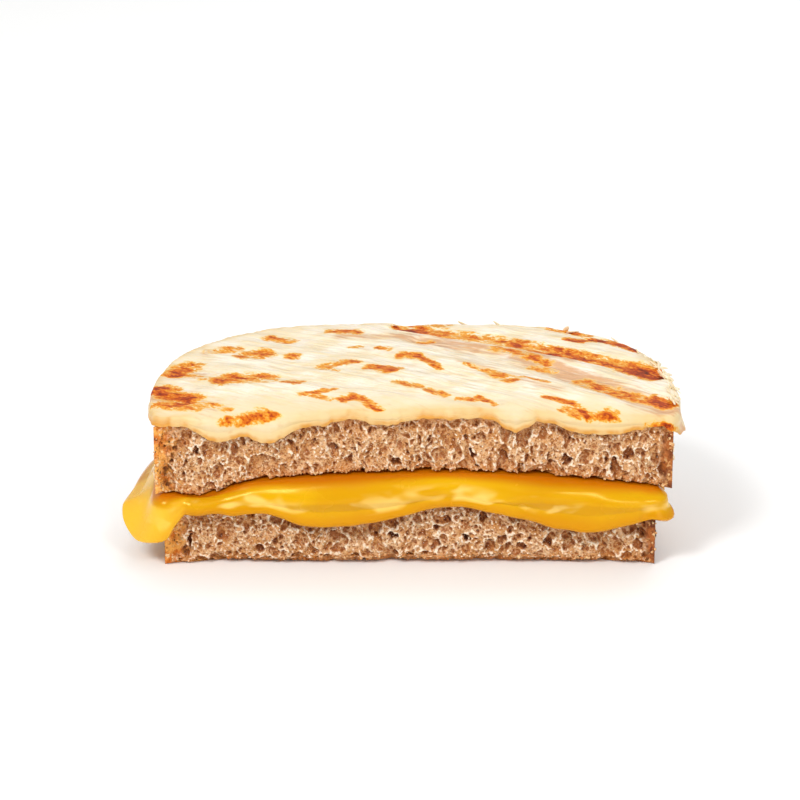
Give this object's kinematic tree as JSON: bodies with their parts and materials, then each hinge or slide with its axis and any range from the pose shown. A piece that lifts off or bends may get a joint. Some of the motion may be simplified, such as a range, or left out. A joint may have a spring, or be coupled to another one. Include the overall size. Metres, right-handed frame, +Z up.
{
  "type": "grilled cheese sandwich half",
  "caption": "Half of a grilled cheese sandwich, cut straight across: brown bread slices, a melted cheddar sheet that folds over the cut, and a grilled melted cheese top.",
  "frame": {"origin": "on the table under the middle of the whole half", "axes": "+Z up through the layers, the cut side faces -Y, +X to the right along the cut as seen from the cut side"},
  "size_m": [0.1192, 0.0682, 0.0357],
  "materials": {
    "brown_bread": "open toasted crumb with a matt brown crust and seeds",
    "cheddar": "smooth melted cheddar with a soft gloss",
    "melted_cheese": "pale melted cheese with browned grill marks, softly glossy"
  },
  "bodies": {
    "root": {"bread_bottom": "brown_bread", "cheddar_sheet": "cheddar", "bread_top": "brown_bread", "melted_cheese": "melted_cheese"}
  },
  "joints": []
}
